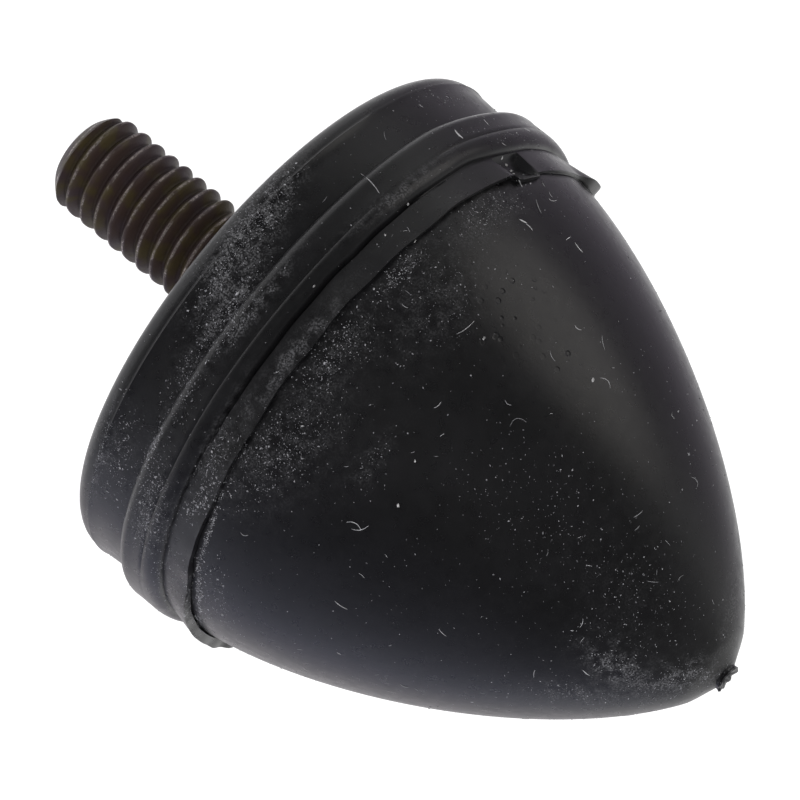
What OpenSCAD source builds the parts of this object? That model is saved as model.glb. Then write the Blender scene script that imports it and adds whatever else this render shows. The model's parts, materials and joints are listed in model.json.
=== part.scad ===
// Parabolic rubber buffer on a threaded steel stud, in millimetres.
// The origin is the centre of the base face. +Z runs along the axis to the nose, and the stud points to -Z.

/* [Cone] */
// Diameter of the cone where it leaves the lip
cone_d = 30; // [26:0.5:34]
// Height above the base face at which the cone would close to a point
body_h = 30.5; // [24:0.5:40]
// Fullness of the cone's flank, where larger stays wide for longer
flank_power = 1.44; // [1.2:0.02:2]
// Sharpness of the nose, where larger is more pointed
nose_power = 0.7; // [0.5:0.02:0.9]

/* [Gate mark on the nose] */
// Diameter of the torn stub that the moulding gate leaves on the nose
gate_d = 1.5; // [0.8:0.1:2.4]
// Height of the stub's rim above the cone
gate_h = 0.15; // [0.05:0.05:0.4]
// Width of the stub's rim
gate_rim = 0.2; // [0.1:0.05:0.3]
// Depth of the hollow torn into the stub, below its rim
gate_dish = 0.25; // [0.1:0.05:0.5]

/* [Base band] */
// How far the base band stands out from the cone at its parting line, on the radius
band_over = 0.25; // [0:0.05:0.4]
// Height of the base band, from the base face to the step under the bead
band_h = 3.6; // [2.8:0.1:6]
// How far the band draws in on the radius from its parting line to the step
band_draft = 0.2; // [0:0.05:0.4]
// Radius of the round lower edge, which ends at the parting line
edge_round = 1; // [0.5:0.1:1.4]
// Width of the two fine parting lines
parting_w = 0.12; // [0.06:0.02:0.2]
// Depth of the two fine parting lines
parting_depth = 0.1; // [0.04:0.02:0.2]

/* [Bead] */
// How far the bead stands out from the cone, on the radius
bead_over = 0.8; // [0.6:0.05:1.5]
// Height of the bead, from the step to the groove
bead_h = 2.5; // [1.8:0.1:4]
// Radius of the bead's edge above the step
bead_shoulder = 0.5; // [0.2:0.05:0.6]
// Radius of the bead's fall into the groove
bead_fall = 0.7; // [0.3:0.05:0.9]
// How far the floor of the groove between the bead and the lip lies inside the bead, on the radius
groove_depth = 0.75; // [0.4:0.05:1]
// Width of the groove's floor
groove_w = 0.15; // [0.05:0.05:0.4]

/* [Flash lip] */
// How far the lip's free edge stands out from the cone, on the radius
lip_over = 0.45; // [0.35:0.05:0.75]
// Height of the lip, from the groove to its free edge
lip_h = 1.35; // [0.8:0.05:2]
// Thickness of the lip at its free edge
lip_t = 0.2; // [0.1:0.05:0.25]
// Depth of the narrow gap between the lip and the cone
lip_gap = 0.45; // [0.2:0.05:0.6]

/* [Base plate] */
// Thickness of the steel plate
plate_t = 2; // [1.2:0.1:2.5]
// Rubber on the radius between the plate's edge and the start of the round lower edge
rim_skin = 1.2; // [0.6:0.1:3]

/* [Stud] */
// Major diameter of the stud's thread
stud_d = 6; // [4:1:8]
// Length of the stud below the base face
stud_len = 14; // [8:0.5:25]
// Length of the chamfer at the stud's tip
tip_chamfer = 0.8; // [0.4:0.1:1.2]
// How much the press collar in the plate is larger than the thread, on the radius
collar_step = 0.3; // [0.2:0.1:1]
// How far the head reaches past the collar, on the radius
head_reach = 2.2; // [1:0.1:3]
// Thickness of the head behind the plate
head_t = 1.6; // [1:0.1:3]

/* [Fits] */
// Gap between rubber and the steel that it is bonded to
bond_gap = 0; // [0:0.01:0.05]
// Gap on the radius between the press collar and its hole in the plate
press_gap = 0; // [0:0.01:0.05]

/* [Hidden] */

RUBBER_BLACK = [0.11, 0.11, 0.115];
PASSIVATED_ZINC = [0.29, 0.24, 0.19];
PLATE_ZINC = [0.36, 0.31, 0.24];
$fn = 96;
CONE_STEPS = 40;
ARC_STEPS = 10;

cone_r = cone_d / 2;
band_r = cone_r + band_over;
waist_r = band_r - band_draft;
bead_r = cone_r + bead_over;
groove_r = bead_r - groove_depth;
lip_r = cone_r + lip_over;
gate_r = gate_d / 2;

bead_top = band_h + bead_h;
bead_line = bead_top - bead_fall - parting_w;
lip_foot = bead_top + groove_w;
lip_edge = lip_foot + lip_h;
gate_foot = height_at(gate_r);
gate_top = gate_foot + gate_h;

edge_r = band_r - edge_round;
plate_r = edge_r - rim_skin;
stud_r = stud_d / 2;
collar_r = stud_r + collar_step;
head_r = collar_r + head_reach;
head_top = plate_t + head_t;

// Radius of the cone at a height above the base face
function cone_at(z) = cone_r * pow(1 - pow((z - lip_edge) / (body_h - lip_edge), flank_power), nose_power);

// Height at which the cone has narrowed to a radius
function height_at(r) =
    lip_edge + (body_h - lip_edge) * pow(1 - pow(r / cone_r, 1 / nose_power), 1 / flank_power);

// Points along an arc in the profile's plane, from one angle to another
function arc(centre, radius, from, to) =
    [for (i = [0 : ARC_STEPS])
        let (a = from + (to - from) * i / ARC_STEPS)
        centre + radius * [cos(a), sin(a)]];

// A fine V-shaped line cut into the profile, centred on a height
function parting_line(r, z) = [
    [r, z - parting_w / 2],
    [r - parting_depth, z],
    [r, z + parting_w / 2]
];

// Round lower edge and drafted wall of the base band, up to the inner corner of the step
function band_profile() = concat(
    arc([edge_r, edge_round], edge_round, -90, 0),
    parting_line(band_r, edge_round + parting_w),
    [[waist_r, band_h]]
);

// Rounded bead, with its parting line where the wall starts to fall into the groove
function bead_profile() = concat(
    arc([bead_r - bead_shoulder, band_h + bead_shoulder], bead_shoulder, -90, 0),
    parting_line(bead_r, bead_line),
    arc([bead_r - bead_fall, bead_top - bead_fall], bead_fall, 0, 90)
);

// Groove floor, the lip that flares out of it, and the gap behind the lip's free edge
function lip_profile() = [
    [groove_r, bead_top],
    [groove_r, lip_foot],
    [lip_r, lip_edge],
    [lip_r - lip_t, lip_edge],
    [cone_r, lip_edge - lip_gap]
];

// Parabolic cone in steps that shorten towards the nose, and the dished gate stub on the axis
function cone_profile() = concat(
    [for (i = [0 : CONE_STEPS])
        let (z = lip_edge + (gate_foot - lip_edge) * sin(90 * i / CONE_STEPS))
        [cone_at(z), z]],
    [[gate_r, gate_top], [gate_r - gate_rim, gate_top], [0, gate_top - gate_dish]]
);

// Pocket that the rubber fills around the plate and the stud's head
function pocket_profile() = [
    [0, head_top + bond_gap],
    [head_r + bond_gap, head_top + bond_gap],
    [head_r + bond_gap, plate_t + bond_gap],
    [plate_r + bond_gap, plate_t + bond_gap],
    [plate_r + bond_gap, 0]
];

// One rubber moulding: band, bead, groove, flash lip, cone and gate stub
module rubber_body() {
    color(RUBBER_BLACK)
        rotate_extrude()
            polygon(concat(
                band_profile(),
                bead_profile(),
                lip_profile(),
                cone_profile(),
                pocket_profile()
            ));
}

// Steel disc flush with the base face, with the hole that the stud is pressed into
module base_plate() {
    color(PLATE_ZINC)
        difference() {
            cylinder(r = plate_r, h = plate_t);
            translate([0, 0, -plate_t])
                cylinder(r = collar_r + press_gap, h = 3 * plate_t);
        }
}

// Stud with its head behind the plate, its collar in the plate and its thread's envelope below the base
module threaded_stud() {
    color(PASSIVATED_ZINC)
        union() {
            translate([0, 0, plate_t])
                cylinder(r = head_r, h = head_t);
            cylinder(r = collar_r, h = plate_t);
            translate([0, 0, tip_chamfer - stud_len])
                cylinder(r = stud_r, h = stud_len - tip_chamfer);
            translate([0, 0, -stud_len])
                cylinder(r1 = stud_r - tip_chamfer, r2 = stud_r, h = tip_chamfer);
        }
}

rubber_body();
base_plate();
threaded_stud();
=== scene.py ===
"""Looks of a parabolic rubber buffer on a threaded stud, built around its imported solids.

Lengths in the classes are millimetres in the part's own frame: the origin is the centre of the base face,
+Z runs along the axis to the nose, and the stud points to -Z. Meshes are written in metres.
"""

from __future__ import annotations

import json
import logging
import math
from collections.abc import Iterable, Sequence
from dataclasses import dataclass, field
from enum import Enum
from functools import cached_property

import bpy
import numpy as np
from mathutils import Matrix, Vector
from mathutils.bvhtree import BVHTree


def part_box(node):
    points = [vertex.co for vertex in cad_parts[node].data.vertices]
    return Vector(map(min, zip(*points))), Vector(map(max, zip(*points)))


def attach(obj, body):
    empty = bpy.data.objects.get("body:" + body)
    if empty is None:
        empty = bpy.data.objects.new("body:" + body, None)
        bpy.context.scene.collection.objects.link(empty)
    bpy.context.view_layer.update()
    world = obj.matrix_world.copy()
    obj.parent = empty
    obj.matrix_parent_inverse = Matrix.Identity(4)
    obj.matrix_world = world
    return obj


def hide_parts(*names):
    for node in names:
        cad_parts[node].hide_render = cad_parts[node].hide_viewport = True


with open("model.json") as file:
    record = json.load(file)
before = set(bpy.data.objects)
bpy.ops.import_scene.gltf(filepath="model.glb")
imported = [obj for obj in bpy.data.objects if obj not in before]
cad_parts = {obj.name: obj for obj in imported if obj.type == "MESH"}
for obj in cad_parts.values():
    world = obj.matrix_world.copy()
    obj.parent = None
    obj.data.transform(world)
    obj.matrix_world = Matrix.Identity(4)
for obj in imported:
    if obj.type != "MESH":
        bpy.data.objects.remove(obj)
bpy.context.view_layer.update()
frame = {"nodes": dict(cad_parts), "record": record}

LOG = logging.getLogger("buffer")
MM = 0.001
BODY = "root"
FILM_LAYER = "dust_film"
PIT_LAYER = "pitting"
CREST_LAYER = "crest"
FILM_FALL = 1.3

Pair = tuple[float, float]
Triple = tuple[float, float, float]
Face = tuple[int, ...]


class CadNode(Enum):
    """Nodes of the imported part."""

    RUBBER = "rubber_body"
    PLATE = "base_plate"
    STUD = "threaded_stud"


class Piece(Enum):
    """Names of the pieces that this script makes."""

    RUBBER = "rubber_moulding"
    STUD = "stud_with_thread"
    SPECKS = "dust_specks"
    FIBRES = "lint_fibres"
    CHIPS = "torn_chips"


@dataclass(frozen=True)
class CadSizes:
    """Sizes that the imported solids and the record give.

    Attributes:
        bead_r: Radius of the bead, the widest part of the rubber.
        body_top: Height of the gate stub on the nose.
        plate_r: Radius of the steel plate.
        plate_t: Thickness of the steel plate.
        head_r: Radius of the stud's head inside the rubber.
        head_top: Height of the head's upper face.
        stud_r: Major radius of the stud's thread.
        stud_tip: Height of the stud's tip, which is below the base face.
    """

    bead_r: float
    body_top: float
    plate_r: float
    plate_t: float
    head_r: float
    head_top: float
    stud_r: float
    stud_tip: float

    @classmethod
    def from_frame(cls) -> CadSizes:
        """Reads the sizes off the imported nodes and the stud's mount.

        Returns:
            The sizes in millimetres.
        """
        rubber_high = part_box(CadNode.RUBBER.value)[1]
        plate_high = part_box(CadNode.PLATE.value)[1]
        stud_low, stud_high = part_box(CadNode.STUD.value)
        mounts = {mount["name"]: mount for mount in frame["record"]["mounts"]}
        return cls(
            bead_r=rubber_high[0] / MM,
            body_top=rubber_high[2] / MM,
            plate_r=plate_high[0] / MM,
            plate_t=plate_high[2] / MM,
            head_r=stud_high[0] / MM,
            head_top=stud_high[2] / MM,
            stud_r=mounts["stud"]["dims"]["r_mm"],
            stud_tip=stud_low[2] / MM,
        )


@dataclass(frozen=True)
class PhotoView:
    """Camera that stands where the photograph was taken.

    Attributes:
        position: Place of the lens.
        elevation: Degrees that the lens looks down.
        roll: Degrees from the image's horizontal down to the part's axis.
        focal_px: Focal length in pixels.
        frame_px: Width and height of the image in pixels.
        sensor: Width of the sensor.
        nearest: Distance from which the camera sees.
    """

    position: Triple = (-0.447, -176.55, 60.32)
    elevation: float = 16.46
    roll: float = 39.14
    focal_px: float = 3600.0
    frame_px: int = 800
    sensor: float = 36.0
    nearest: float = 5.0

    def axes(self) -> np.ndarray:
        """Gives the image's own directions in the part's frame.

        Returns:
            Rows for right, down and forward.
        """
        tilt, roll = math.radians(self.elevation), math.radians(self.roll)
        low, flat = math.sin(tilt), math.cos(tilt)
        right = (-math.sin(roll), low * math.cos(roll), flat * math.cos(roll))
        down = (math.cos(roll), low * math.sin(roll), flat * math.sin(roll))
        return np.array([right, down, (0.0, flat, -low)])

    def ray(self, pixel: Sequence[float]) -> Vector:
        """Gives the direction of the ray through a pixel.

        Args:
            pixel: Column and row in the photograph.

        Returns:
            The unit direction away from the lens.
        """
        middle = self.frame_px / 2
        steps = np.array([(pixel[0] - middle) / self.focal_px, (pixel[1] - middle) / self.focal_px, 1.0])
        return Vector(steps @ self.axes()).normalized()

    def pixels(self, points: np.ndarray) -> np.ndarray:
        """Projects points, one a row, to columns and rows of the photograph."""
        seen = (points - np.array(self.position)) @ self.axes().T
        return self.frame_px / 2 + self.focal_px * seen[:, :2] / seen[:, 2:]

    def build(self) -> None:
        """Makes the camera and gives it to the scene."""
        lens = bpy.data.cameras.new("photo_camera")
        lens.sensor_width = self.sensor
        lens.lens = self.sensor * self.focal_px / self.frame_px
        lens.clip_start = self.nearest * MM
        camera = bpy.data.objects.new("photo_camera", lens)
        right, down, forward = self.axes()
        turn = Matrix(np.array([right, -down, -forward]).T.tolist()).to_4x4()
        camera.matrix_world = Matrix.Translation(Vector(self.position) * MM) @ turn
        link(camera)
        bpy.context.scene.camera = camera


@dataclass(frozen=True)
class Ripple:
    """Seeded wave round the axis.

    Attributes:
        seed: Seed of its phases.
        lowest: Fewest waves in a turn.
        highest: Most waves in a turn.
        height: Root mean square of the wave.
    """

    seed: int
    lowest: int
    highest: int
    height: float = 1.0

    def at(self, azimuth: np.ndarray) -> np.ndarray:
        """Gives the wave's height.

        Args:
            azimuth: Angles round the axis in radians.

        Returns:
            One height an angle.
        """
        draw = np.random.default_rng(self.seed)
        orders = np.arange(self.lowest, self.highest + 1)[:, None]
        phases = draw.uniform(0, math.tau, orders.shape)
        gains = draw.uniform(0.4, 1.0, orders.shape)
        waves = gains * np.cos(orders * azimuth[None, :] + phases)
        return self.height * (waves.sum(axis=0) / math.sqrt((gains**2).sum() / 2))


def smooth_step(low: float, high: float, value: np.ndarray | float) -> np.ndarray | float:
    """Rises smoothly from zero at a low value to one at a high value."""
    share = np.clip((value - low) / (high - low), 0.0, 1.0)
    return share * share * (3 - 2 * share)


def between(start: float, end: float, fade: float, angle: np.ndarray) -> np.ndarray:
    """Is one from a start down to an end and zero beside them, with a smooth rise inside each."""
    return smooth_step(start, start - fade, angle) * smooth_step(end, end + fade, angle)


def round_ring(azimuth: np.ndarray, radius: np.ndarray | float, height: np.ndarray | float) -> np.ndarray:
    """Places one ring of points round the axis, with radius and height the same all round or one a point."""
    level = np.broadcast_to(height, azimuth.shape)
    return np.stack([radius * np.cos(azimuth), radius * np.sin(azimuth), level], axis=1)


def axis_point(height: float) -> np.ndarray:
    """Gives a ring of one point on the axis."""
    return np.array([[0.0, 0.0, height]])


def link(made: bpy.types.Object) -> None:
    """Links an object to the scene."""
    bpy.context.scene.collection.objects.link(made)


class ShellMesh:
    """Collects closed shells made of rings and turns them into one object."""

    def __init__(self) -> None:
        """Starts with no points and no faces."""
        self.points: list[np.ndarray] = []
        self.faces: list[Face] = []
        self.count = 0

    def _keep(self, points: np.ndarray) -> int:
        """Adds points.

        Args:
            points: One point a row.

        Returns:
            Index of the first.
        """
        first = self.count
        self.points.append(points)
        self.count += len(points)
        return first

    def add_solid(self, points: np.ndarray, faces: Iterable[Face]) -> None:
        """Adds a ready solid, with its faces as indices into its points."""
        first = self._keep(points)
        self.faces.extend(tuple(first + corner for corner in face) for face in faces)

    def add_rings(self, rings: Sequence[np.ndarray]) -> None:
        """Joins rings one to the next, from one end point of the shell to the other.

        Args:
            rings: Rings of points. Each count is one or a whole multiple or share of its neighbour's.
        """
        firsts = [self._keep(ring) for ring in rings]
        for step in range(len(rings) - 1):
            ends = (firsts[step], len(rings[step]), firsts[step + 1], len(rings[step + 1]))
            self.faces.extend(self._between(*ends))

    @staticmethod
    def _between(low: int, low_count: int, high: int, high_count: int) -> list[Face]:
        """Makes the faces between two rings.

        Args:
            low: Index of the first ring's first point.
            low_count: Points in the first ring.
            high: Index of the second ring's first point.
            high_count: Points in the second ring.

        Returns:
            The faces, turned outwards.
        """
        around = max(low_count, high_count)
        if low_count == 1:
            return [(low, high + (i + 1) % around, high + i) for i in range(around)]
        if high_count == 1:
            return [(low + i, low + (i + 1) % around, high) for i in range(around)]
        if low_count == high_count:
            turns = [(i, (i + 1) % around) for i in range(around)]
            return [(low + i, low + j, high + j, high + i) for i, j in turns]
        few = min(low_count, high_count)
        share = around // few
        half = share // 2
        faces: list[Face] = []
        for i in range(few):
            near, far = i, (i + 1) % few
            fine = [(share * i + step) % around for step in range(share + 1)]
            for step in range(share):
                coarse = near if step < half else far
                start, stop = fine[step], fine[step + 1]
                if low_count == few:
                    faces.append((low + coarse, high + stop, high + start))
                else:
                    faces.append((low + start, low + stop, high + coarse))
            if low_count == few:
                faces.append((low + near, low + far, high + fine[half]))
            else:
                faces.append((low + fine[half], high + far, high + near))
        return faces

    def all_points(self) -> np.ndarray:
        """Gives every point, one a row."""
        return np.concatenate(self.points)

    def build(
        self, name: str, material: bpy.types.Material, crease: float = 40.0, scale: float = MM
    ) -> bpy.types.Object:
        """Makes the object, shaded smooth apart from sharp edges.

        Args:
            name: Name of the object.
            material: Its finish.
            crease: Degrees between faces from which an edge stays sharp.
            scale: Length of the points' unit in metres.

        Returns:
            The object, linked to the scene.
        """
        mesh = bpy.data.meshes.new(name)
        mesh.from_pydata((self.all_points() * scale).tolist(), [], self.faces)
        mesh.materials.append(material)
        mesh.shade_smooth()
        mesh.set_sharp_from_angle(angle=math.radians(crease))
        made = bpy.data.objects.new(name, mesh)
        link(made)
        return made


def write_layer(piece: bpy.types.Object, layer: str, values: np.ndarray) -> None:
    """Stores one number a point in a layer of a piece's mesh, for its material to read."""
    made = piece.data.attributes.new(layer, "FLOAT", "POINT")
    made.data.foreach_set("value", np.ascontiguousarray(values, dtype=np.float32))


def carry(piece: bpy.types.Object, stands_for: CadNode | None = None) -> None:
    """Fastens a piece to the part's only body and reports it.

    Args:
        piece: The new piece.
        stands_for: Node that the piece is shown in place of.
    """
    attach(piece, BODY)
    if stands_for is not None:
        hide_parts(stands_for.value)
    LOG.info("%s: %d faces", piece.name, len(piece.data.polygons))


class ShaderGraph:
    """Material or world under construction, with short calls for the nodes that it uses."""

    def __init__(self, name: str, world: bool = False) -> None:
        """Starts with no nodes.

        Args:
            name: Name of the material or world.
            world: Whether it is a world.
        """
        self.owner = (bpy.data.worlds if world else bpy.data.materials).new(name)
        self.owner.use_nodes = True
        self.output = "ShaderNodeOutputWorld" if world else "ShaderNodeOutputMaterial"
        self.tree = self.owner.node_tree
        self.tree.nodes.clear()

    @cached_property
    def place(self) -> bpy.types.NodeSocket:
        """Place on the object."""
        return self.add("ShaderNodeTexCoord").outputs["Object"]

    def add(self, kind: str, **settings: object) -> bpy.types.Node:
        """Adds a node and sets its options.

        Args:
            kind: Type of the node.
            settings: Options by name.

        Returns:
            The node.
        """
        node = self.tree.nodes.new(kind)
        for name, value in settings.items():
            setattr(node, name, value)
        return node

    def feed(self, socket: bpy.types.NodeSocket, value: object) -> None:
        """Links an output to a socket, or sets the socket to a constant.

        Args:
            socket: Input to feed.
            value: An output socket or a constant.
        """
        if isinstance(value, bpy.types.NodeSocket):
            self.tree.links.new(value, socket)
        else:
            socket.default_value = value

    def layer(self, name: str) -> bpy.types.NodeSocket:
        """Reads a layer of the mesh."""
        return self.add("ShaderNodeAttribute", attribute_name=name).outputs["Fac"]

    def noise(self, grain: float, detail: float = 2.0, stretch: Triple = (1, 1, 1)) -> bpy.types.NodeSocket:
        """Adds noise.

        Args:
            grain: Size of its features in millimetres.
            detail: Octaves of finer noise.
            stretch: How much finer it is along each axis.

        Returns:
            Its value, from zero to one.
        """
        mapping = self.add("ShaderNodeMapping")
        self.feed(mapping.inputs["Vector"], self.place)
        self.feed(mapping.inputs["Scale"], stretch)
        node = self.add("ShaderNodeTexNoise")
        self.feed(node.inputs["Vector"], mapping.outputs["Vector"])
        self.feed(node.inputs["Scale"], 1 / (grain * MM))
        self.feed(node.inputs["Detail"], detail)
        return node.outputs[0]

    def cells(self, grain: float) -> bpy.types.NodeSocket:
        """Adds a cell pattern.

        Args:
            grain: Size of a cell in millimetres.

        Returns:
            Distance from the cell's centre.
        """
        node = self.add("ShaderNodeTexVoronoi")
        self.feed(node.inputs["Vector"], self.place)
        self.feed(node.inputs["Scale"], 1 / (grain * MM))
        return node.outputs["Distance"]

    def remap(self, value: object, low: float, high: float, start: float = 0.0, end: float = 1.0) -> object:
        """Maps a range to another one with a smooth rise.

        Args:
            value: What to map.
            low: Where the rise starts.
            high: Where it ends.
            start: Value before the rise.
            end: Value after it.

        Returns:
            The mapped value.
        """
        node = self.add("ShaderNodeMapRange", interpolation_type="SMOOTHSTEP")
        for name, number in (("From Min", low), ("From Max", high), ("To Min", start), ("To Max", end)):
            self.feed(node.inputs[name], number)
        self.feed(node.inputs["Value"], value)
        return node.outputs["Result"]

    def maths(self, operation: str, first: object, second: object) -> bpy.types.NodeSocket:
        """Combines two numbers.

        Args:
            operation: Name of the operation.
            first: First number.
            second: Second number.

        Returns:
            The result.
        """
        node = self.add("ShaderNodeMath", operation=operation)
        self.feed(node.inputs[0], first)
        self.feed(node.inputs[1], second)
        return node.outputs[0]

    def blend(self, share: object, first: object, second: object) -> bpy.types.NodeSocket:
        """Mixes two colours.

        Args:
            share: Share of the second colour.
            first: First colour, three numbers or a socket.
            second: Second colour, three numbers or a socket.

        Returns:
            The mixed colour.
        """
        node = self.add("ShaderNodeMix", data_type="RGBA")
        self.feed(node.inputs[0], share)
        for socket, colour in ((node.inputs[6], first), (node.inputs[7], second)):
            self.feed(socket, colour if isinstance(colour, bpy.types.NodeSocket) else (*colour, 1.0))
        return node.outputs[2]

    def bump(self, height: object, depth: float, under: object | None = None) -> bpy.types.NodeSocket:
        """Adds relief.

        Args:
            height: Height map.
            depth: Depth of the relief in millimetres.
            under: Relief that this one lies on.

        Returns:
            The bent normal.
        """
        node = self.add("ShaderNodeBump")
        self.feed(node.inputs["Distance"], depth * MM)
        self.feed(node.inputs["Height"], height)
        if under is not None:
            self.feed(node.inputs["Normal"], under)
        return node.outputs["Normal"]

    def shown(self) -> bpy.types.NodeSocket:
        """Finds out whether the camera, gloss or glass looks this way.

        Returns:
            One or zero.
        """
        path = self.add("ShaderNodeLightPath").outputs
        seen = self.maths("MAXIMUM", path["Is Camera Ray"], path["Is Glossy Ray"])
        return self.maths("MAXIMUM", seen, path["Is Transmission Ray"])

    def surface(self, kind: str, **sockets: object) -> bpy.types.NodeSocket:
        """Adds a shader.

        Args:
            kind: Type of the node.
            sockets: Inputs by name, with underscores for blanks.

        Returns:
            The shader's output.
        """
        shader = self.add(kind)
        for name, value in sockets.items():
            colour = isinstance(value, tuple) and len(value) == 3
            self.feed(shader.inputs[name.replace("_", " ")], (*value, 1.0) if colour else value)
        return shader.outputs[0]

    def mix(self, share: object, first: object, second: object) -> bpy.types.NodeSocket:
        """Mixes two shaders.

        Args:
            share: Share of the second one.
            first: First shader.
            second: Second shader.

        Returns:
            The mixed shader.
        """
        node = self.add("ShaderNodeMixShader")
        for socket, value in zip(node.inputs, (share, first, second)):
            self.feed(socket, value)
        return node.outputs[0]

    def close(self, shader: bpy.types.NodeSocket) -> bpy.types.Material | bpy.types.World:
        """Puts a shader on show and gives the finished material or world."""
        self.feed(self.add(self.output).inputs["Surface"], shader)
        return self.owner

    def finish(self, **sockets: object) -> bpy.types.Material:
        """Closes the material with the standard surface shader, given its inputs by name."""
        return self.close(self.surface("ShaderNodeBsdfPrincipled", **sockets))


@dataclass(frozen=True)
class RubberFinish:
    """Black satin rubber with fine grain, pits and a film of pale dust.

    Attributes:
        black: Colour of clean rubber.
        bloom: Colour of the paler, bloomed blotches.
        dust: Colour of the dust film.
        gloss: Roughness of the smoothest and the roughest clean rubber.
        shine: Level of the surface reflection.
    """

    black: Triple = (0.0060, 0.0059, 0.0063)
    bloom: Triple = (0.0086, 0.0084, 0.0092)
    dust: Triple = (0.34, 0.34, 0.35)
    gloss: Pair = (0.27, 0.32)
    shine: float = 0.5

    def build(self) -> bpy.types.Material:
        """Makes the material.

        Returns:
            The material.
        """
        graph = ShaderGraph("black_rubber")
        film = graph.layer(FILM_LAYER)
        cloud = graph.noise(3.0, 4.0)
        mottle = graph.noise(0.6, 3.0)
        grain = graph.noise(0.13, 2.0)
        powder = graph.noise(0.09, 1.0)
        loaded = graph.maths("MULTIPLY", film, graph.remap(mottle, 0.36, 0.60))
        veil = graph.maths("MULTIPLY", loaded, graph.remap(powder, 0.40, 0.68, 0.02, 0.45))
        clean = graph.blend(graph.remap(cloud, 0.3, 0.7), self.black, self.bloom)
        satin = graph.remap(mottle, 0.3, 0.7, *self.gloss)
        matt = graph.maths("ADD", satin, graph.maths("MULTIPLY", loaded, 0.2))
        holes = graph.remap(graph.cells(0.62), 0.17, 0.30, 1.0, 0.0)
        pits = graph.maths("MULTIPLY", holes, graph.layer(PIT_LAYER))
        relief = graph.bump(grain, 0.003)
        relief = graph.bump(mottle, 0.005, relief)
        relief = graph.bump(graph.maths("SUBTRACT", 1.0, pits), 0.05, relief)
        return graph.finish(
            Base_Color=graph.blend(veil, clean, self.dust),
            Roughness=matt,
            Specular_IOR_Level=self.shine,
            Normal=relief,
        )


@dataclass(frozen=True)
class ZincFinish:
    """Dark yellow-passivated zinc, stained in brown, olive and violet, worn pale on the crests and darkened
    with painted shade in the roots of the thread.

    Attributes:
        brown: Main colour.
        olive: Colour of the olive stains.
        violet: Colour of the violet stains.
        worn: Colour of worn crests.
        root_shade: Painted shade, a darker colour blended into the roots of the thread and the middle of the
            tip.
    """

    brown: Triple = (0.052, 0.034, 0.030)
    olive: Triple = (0.066, 0.051, 0.022)
    violet: Triple = (0.054, 0.037, 0.040)
    worn: Triple = (0.46, 0.41, 0.38)
    root_shade: Triple = (0.014, 0.009, 0.008)

    def build(self) -> bpy.types.Material:
        """Makes the material.

        Returns:
            The material.
        """
        graph = ShaderGraph("stained_zinc")
        crest = graph.layer(CREST_LAYER)
        stain = graph.noise(1.5, 3.0)
        tint = graph.noise(2.2, 2.0, (1.0, 1.3, 0.7))
        grain = graph.noise(0.10, 3.0)
        colour = graph.blend(graph.remap(stain, 0.45, 0.60), self.brown, self.olive)
        colour = graph.blend(graph.remap(tint, 0.50, 0.65), colour, self.violet)
        # Painted shade: the roots of the thread are blended towards a darker colour.
        root = graph.remap(crest, 0.30, 0.05, 0.0, 0.45)
        colour = graph.blend(root, colour, self.root_shade)
        rubbed = graph.remap(graph.noise(0.8, 3.0), 0.40, 0.62)
        wear = graph.maths("MULTIPLY", graph.remap(crest, 0.96, 1.0), graph.remap(grain, 0.35, 0.7, 0.1, 1.0))
        wear = graph.maths("MULTIPLY", wear, rubbed)
        dull = graph.remap(grain, 0.3, 0.7, 0.38, 0.52)
        dull = graph.maths("ADD", dull, graph.maths("MULTIPLY", root, 0.4))
        return graph.finish(
            Base_Color=graph.blend(wear, colour, self.worn),
            Metallic=graph.remap(wear, 0.0, 1.0, 0.3, 0.95),
            Roughness=graph.maths("SUBTRACT", dull, graph.maths("MULTIPLY", wear, 0.2)),
            Normal=graph.bump(grain, 0.008),
        )


@dataclass(frozen=True)
class PlateFinish:
    """Dull yellow-passivated zinc of the plate, clouded and finely scratched.

    Attributes:
        straw: Main colour.
        grey: Colour where the passivation is thin.
        brown: Colour of the stains.
    """

    straw: Triple = (0.29, 0.24, 0.14)
    grey: Triple = (0.28, 0.25, 0.19)
    brown: Triple = (0.20, 0.15, 0.09)

    def build(self) -> bpy.types.Material:
        """Makes the material.

        Returns:
            The material.
        """
        graph = ShaderGraph("dull_zinc")
        cloud = graph.noise(7.0, 4.0)
        stain = graph.noise(2.4, 5.0)
        scratch = graph.noise(0.35, 3.0, (0.08, 1.0, 1.0))
        grain = graph.noise(0.12, 2.0)
        colour = graph.blend(graph.remap(cloud, 0.3, 0.7), self.straw, self.grey)
        colour = graph.blend(graph.remap(stain, 0.48, 0.75, 0.0, 0.7), colour, self.brown)
        relief = graph.bump(scratch, 0.012)
        return graph.finish(
            Base_Color=colour,
            Metallic=0.8,
            Roughness=graph.remap(stain, 0.35, 0.7, 0.36, 0.58),
            Normal=graph.bump(grain, 0.008, relief),
        )


@dataclass(frozen=True)
class DustFinish:
    """Pale dust and lint, each grain a little lighter or darker than the next.

    Attributes:
        name: Name of the material.
        dull: Colour of the darkest grains.
        bright: Colour of the lightest grains.
    """

    name: str
    dull: Triple
    bright: Triple

    def build(self) -> bpy.types.Material:
        """Makes the material.

        Returns:
            The material.
        """
        graph = ShaderGraph(self.name)
        chance = graph.add("ShaderNodeNewGeometry").outputs["Random Per Island"]
        grain = graph.noise(0.03, 1.0)
        shade = graph.maths("MULTIPLY", chance, graph.remap(grain, 0.2, 0.8, 0.7, 1.0))
        return graph.finish(
            Base_Color=graph.blend(shade, self.dull, self.bright),
            Roughness=graph.remap(grain, 0.2, 0.8, 0.8, 1.0),
            Specular_IOR_Level=0.2,
            Normal=graph.bump(grain, 0.004),
        )


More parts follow.
